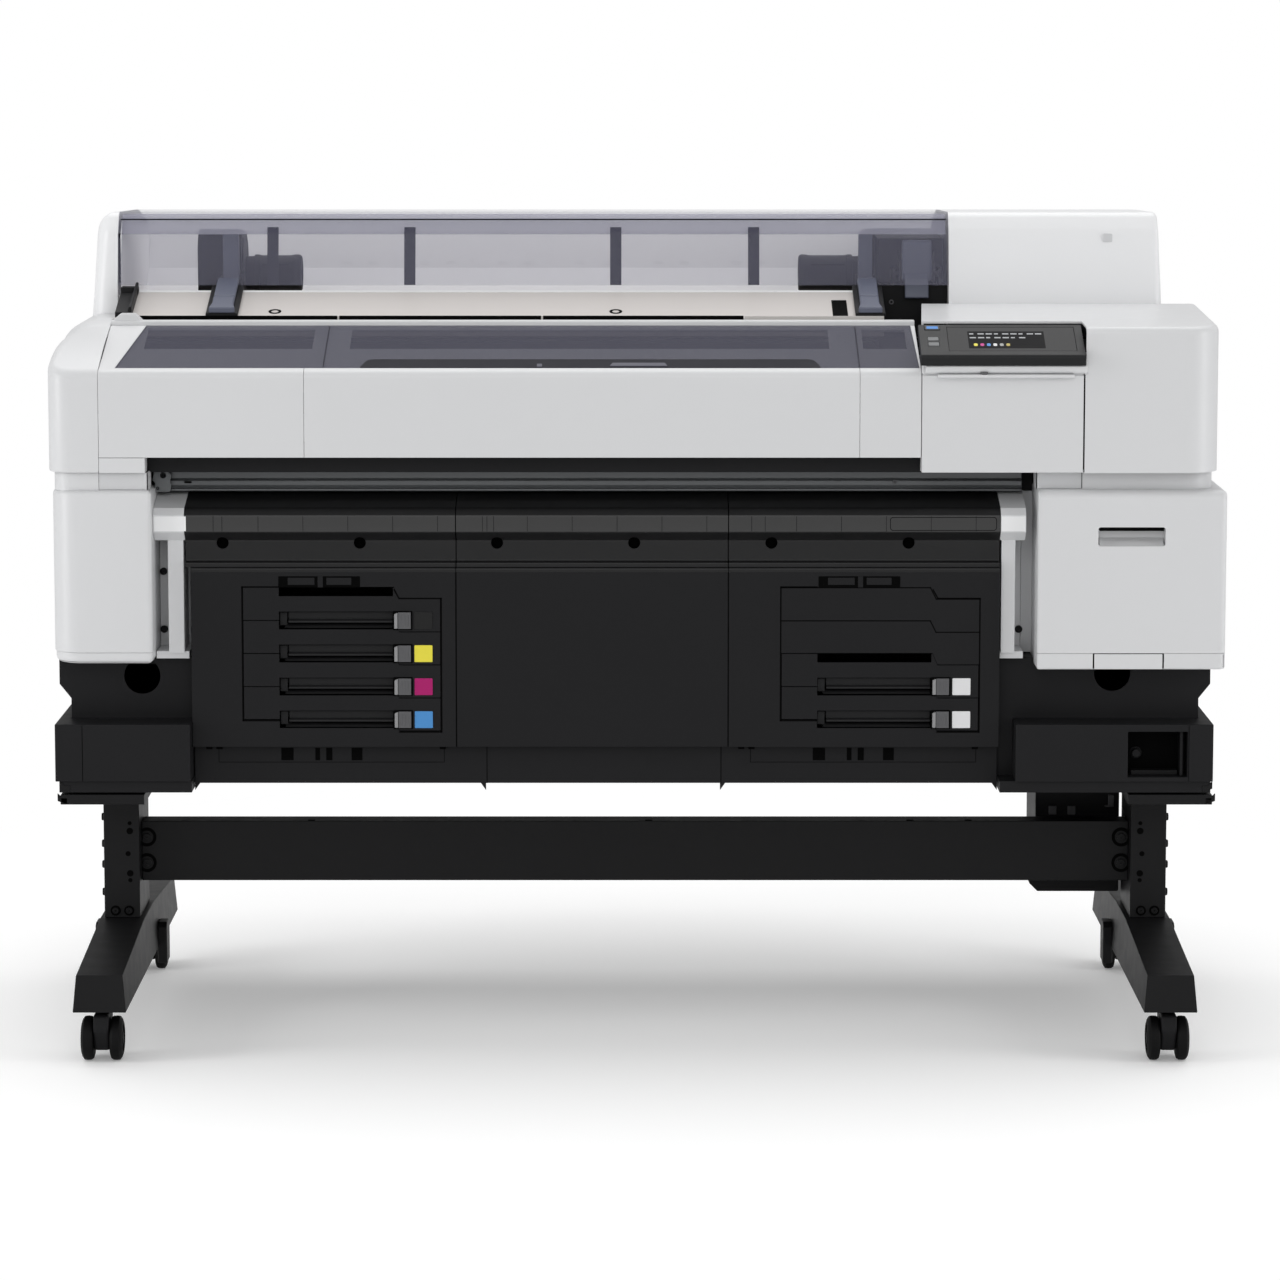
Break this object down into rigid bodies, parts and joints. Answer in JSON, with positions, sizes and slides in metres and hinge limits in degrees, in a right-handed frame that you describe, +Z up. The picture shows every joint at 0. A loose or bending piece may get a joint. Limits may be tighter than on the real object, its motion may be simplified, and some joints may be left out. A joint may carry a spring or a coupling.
{
  "type": "roll-fed inkjet printer with cutter",
  "caption": "Wide floor-standing roll-fed inkjet film printer with a built-in cutter, white covers, tinted windows, ink drawers and a black stand on casters.",
  "frame": {"origin": "middle of the footprint, on the floor", "axes": "+X to the right seen from the front, along the machine's width; +Y to the back; +Z up"},
  "size_m": [1.608, 0.917, 1.127],
  "materials": {
    "white_plastic": "satin white moulded covers",
    "black_plastic": "fine-grained black plastic",
    "black_steel": "black powder coat",
    "grey_rail": "dark anodised extrusion",
    "steel": "bright steel",
    "tinted_plastic": "tinted grey-blue transparent plastic",
    "board_plastic": "warm light grey feed board",
    "rubber": "black rubber and soft tyres",
    "blue_grey_plastic": "blue-grey plastic levers",
    "panel_plastic": "dark satin control panel"
  },
  "bodies": {
    "frame": {"base_beam": "black_plastic", "carriage_belt": "rubber", "carriage_rail": "steel", "center_front_panel": "black_plastic", "cross_beam": "black_steel", "eject_rail": "grey_rail", "exit_guide": "black_plastic", "front_surround": "white_plastic", "left_base_cover": "black_plastic", "left_foot": "black_steel", "left_frame": "black_plastic", "left_guide_cap": "white_plastic", "left_ink_bay": "black_plastic", "left_lower_cover": "white_plastic", "left_post": "black_steel", "left_upper_cover": "white_plastic", "lever_housing": "black_plastic", "media_feed_board": "board_plastic", "platen": "black_plastic", "rear_cover": "black_plastic", "right_base_cover": "black_plastic", "right_foot": "black_steel", "right_frame": "black_plastic", "right_guide_cap": "white_plastic", "right_ink_bay": "black_plastic", "right_lower_cover": "white_plastic", "right_post": "black_steel", "right_rear_cover": "white_plastic", "right_upper_cover": "white_plastic", "waste_ink_unit": "black_plastic"},
    "carriage": {"print_carriage": "black_plastic"},
    "cutter": {"cutter_blade": "steel"},
    "front_cover": {"front_cover": "white_plastic", "front_cover_window": "tinted_plastic"},
    "roll_cover": {"roll_cover": "tinted_plastic"},
    "service_door": {"right_lower_door": "white_plastic"},
    "head_access": {"head_access_cover": "white_plastic"},
    "control_panel": {"control_panel": "panel_plastic"},
    "power_button": {"power_button": "panel_plastic"},
    "feed_roller": {"feed_roller": "rubber"},
    "pinch_bar": {"pinch_rollers": "steel"},
    "media_lever": {"media_lever": "blue_grey_plastic"},
    "left_holder": {"left_roll_holder": "black_plastic"},
    "left_lever": {"left_holder_lever": "blue_grey_plastic"},
    "right_holder": {"right_roll_holder": "black_plastic"},
    "right_lever": {"right_holder_lever": "blue_grey_plastic"},
    "caster_front_left": {"caster_fork_front_left": "black_plastic"},
    "wheels_front_left": {"caster_wheels_front_left": "rubber"},
    "caster_front_right": {"caster_fork_front_right": "black_plastic"},
    "wheels_front_right": {"caster_wheels_front_right": "rubber"},
    "caster_rear_left": {"caster_fork_rear_left": "black_plastic"},
    "wheels_rear_left": {"caster_wheels_rear_left": "rubber"},
    "caster_rear_right": {"caster_fork_rear_right": "black_plastic"},
    "wheels_rear_right": {"caster_wheels_rear_right": "rubber"},
    "drawer_black": {"ink_drawer_black": "black_plastic"},
    "drawer_yellow": {"ink_drawer_yellow": "black_plastic"},
    "drawer_magenta": {"ink_drawer_magenta": "black_plastic"},
    "drawer_cyan": {"ink_drawer_cyan": "black_plastic"},
    "drawer_white_upper": {"ink_drawer_white_upper": "black_plastic"},
    "drawer_white_lower": {"ink_drawer_white_lower": "black_plastic"}
  },
  "joints": [
    {"name": "swivel_front_left", "type": "hinge", "parent": "frame", "child": "caster_front_left", "pos_m": [-0.7247, -0.4005, 0], "axis": [0, 0, 1], "continuous": true},
    {"name": "wheel_spin_front_left", "type": "hinge", "parent": "caster_front_left", "child": "wheels_front_left", "pos_m": [-0.7247, -0.4185, 0.03], "axis": [1, 0, 0], "continuous": true},
    {"name": "swivel_front_right", "type": "hinge", "parent": "frame", "child": "caster_front_right", "pos_m": [0.7181, -0.4005, 0], "axis": [0, 0, 1], "continuous": true},
    {"name": "wheel_spin_front_right", "type": "hinge", "parent": "caster_front_right", "child": "wheels_front_right", "pos_m": [0.7181, -0.4185, 0.03], "axis": [1, 0, 0], "continuous": true},
    {"name": "swivel_rear_left", "type": "hinge", "parent": "frame", "child": "caster_rear_left", "pos_m": [-0.7247, 0.2035, 0], "axis": [0, 0, 1], "continuous": true},
    {"name": "wheel_spin_rear_left", "type": "hinge", "parent": "caster_rear_left", "child": "wheels_rear_left", "pos_m": [-0.7247, 0.1855, 0.03], "axis": [1, 0, 0], "continuous": true},
    {"name": "swivel_rear_right", "type": "hinge", "parent": "frame", "child": "caster_rear_right", "pos_m": [0.7181, 0.2035, 0], "axis": [0, 0, 1], "continuous": true},
    {"name": "wheel_spin_rear_right", "type": "hinge", "parent": "caster_rear_right", "child": "wheels_rear_right", "pos_m": [0.7181, 0.1855, 0.03], "axis": [1, 0, 0], "continuous": true},
    {"name": "drawer_slide_black", "type": "slide", "parent": "frame", "child": "drawer_black", "axis": [0, -1, 0], "range_m": [0, 0.22]},
    {"name": "drawer_slide_yellow", "type": "slide", "parent": "frame", "child": "drawer_yellow", "axis": [0, -1, 0], "range_m": [0, 0.22]},
    {"name": "drawer_slide_magenta", "type": "slide", "parent": "frame", "child": "drawer_magenta", "axis": [0, -1, 0], "range_m": [0, 0.22]},
    {"name": "drawer_slide_cyan", "type": "slide", "parent": "frame", "child": "drawer_cyan", "axis": [0, -1, 0], "range_m": [0, 0.22]},
    {"name": "drawer_slide_white_upper", "type": "slide", "parent": "frame", "child": "drawer_white_upper", "axis": [0, -1, 0], "range_m": [0, 0.22]},
    {"name": "drawer_slide_white_lower", "type": "slide", "parent": "frame", "child": "drawer_white_lower", "axis": [0, -1, 0], "range_m": [0, 0.22]},
    {"name": "service_door_hinge", "type": "hinge", "parent": "frame", "child": "service_door", "pos_m": [0.546, -0.3075, 0.5405], "axis": [1, 0, 0], "range_deg": [0, 80]},
    {"name": "head_access_hinge", "type": "hinge", "parent": "frame", "child": "head_access", "pos_m": [0.3865, -0.3075, 0.7885], "axis": [1, 0, 0], "range_deg": [0, 80]},
    {"name": "front_cover_hinge", "type": "hinge", "parent": "frame", "child": "front_cover", "pos_m": [-0.453, -0.14, 0.975], "axis": [-1, 0, 0], "range_deg": [0, 70]},
    {"name": "roll_cover_hinge", "type": "hinge", "parent": "frame", "child": "roll_cover", "pos_m": [-0.7385, 0.4585, 1.0323], "axis": [-1, 0, 0], "range_deg": [0, 70]},
    {"name": "control_panel_tilt", "type": "hinge", "parent": "frame", "child": "control_panel", "pos_m": [0.384, -0.2405, 0.987], "axis": [-1, 0, 0], "range_deg": [0, 30]},
    {"name": "power_button_press", "type": "slide", "parent": "control_panel", "child": "power_button", "axis": [0, 0.4056, -0.914], "range_m": [0, 0.001], "stiffness_N_per_m": 400, "springref_m": -0.0005},
    {"name": "carriage_slide", "type": "slide", "parent": "frame", "child": "carriage", "axis": [-1, 0, 0], "range_m": [0, 1.15]},
    {"name": "cutter_drop", "type": "slide", "parent": "carriage", "child": "cutter", "axis": [0, 0, -1], "range_m": [0, 0.005]},
    {"name": "feed_roller_spin", "type": "hinge", "parent": "frame", "child": "feed_roller", "pos_m": [-0.6015, -0.115, 0.8], "axis": [1, 0, 0], "continuous": true},
    {"name": "media_lever_turn", "type": "hinge", "parent": "frame", "child": "media_lever", "pos_m": [0.369, 0.052, 1.0385], "axis": [-1, 0, 0], "range_deg": [0, 20]},
    {"name": "pinch_lift", "type": "hinge", "parent": "frame", "child": "pinch_bar", "pos_m": [-0.6015, -0.06, 0.841], "axis": [-1, 0, 0], "range_deg": [0, 4]},
    {"name": "left_holder_slide", "type": "slide", "parent": "frame", "child": "left_holder", "axis": [1, 0, 0], "range_m": [0, 0.4]},
    {"name": "left_holder_lock", "type": "hinge", "parent": "left_holder", "child": "left_lever", "pos_m": [-0.5927, 0.073, 1.0285], "axis": [-1, 0, 0], "range_deg": [0, 30]},
    {"name": "right_holder_slide", "type": "slide", "parent": "frame", "child": "right_holder", "axis": [-1, 0, 0], "range_m": [0, 0.1]},
    {"name": "right_holder_lock", "type": "hinge", "parent": "right_holder", "child": "right_lever", "pos_m": [0.3173, 0.073, 1.0285], "axis": [-1, 0, 0], "range_deg": [0, 30]}
  ],
  "couplings": [
    {"joint": "pinch_lift", "follows": "media_lever_turn", "ratio": 0.2}
  ]
}
